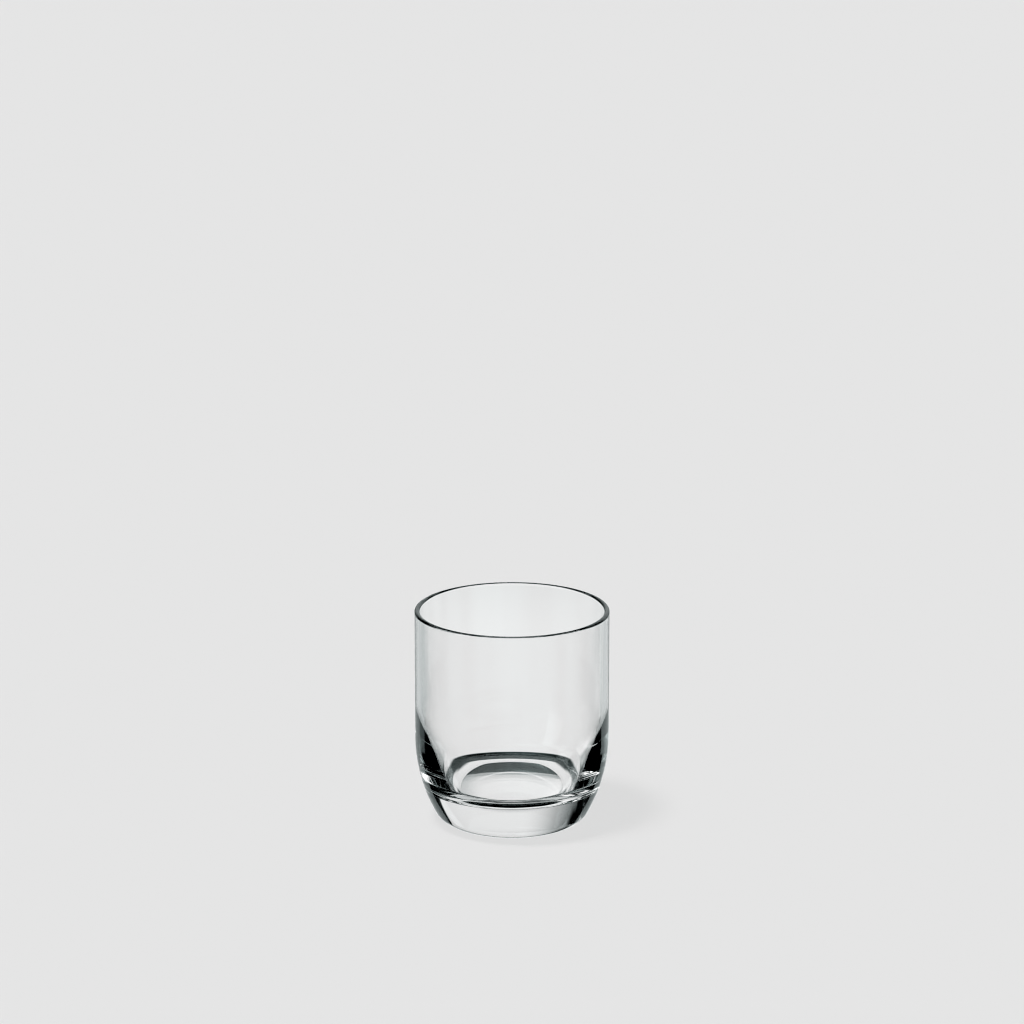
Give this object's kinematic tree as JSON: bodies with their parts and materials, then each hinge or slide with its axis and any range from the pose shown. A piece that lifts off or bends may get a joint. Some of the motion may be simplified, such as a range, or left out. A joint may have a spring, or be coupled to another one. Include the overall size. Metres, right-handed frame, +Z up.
{
  "type": "schnapps glass",
  "caption": "Small clear drinking glass with a straight upper wall that curves in to a thick base, a rounded rim and a shallow hollow underside, for short measures of spirits.",
  "frame": {"origin": "middle of the standing plane, on the glass's axis, at the level of the contact ring", "axes": "+Z up along the axis of revolution, from the base to the rim; X and Y lie in the standing plane"},
  "size_m": [0.048, 0.048, 0.0542],
  "materials": {
    "glass": "clear, smooth, fire-polished"
  },
  "bodies": {
    "root": {"glass_body": "glass"}
  },
  "joints": []
}
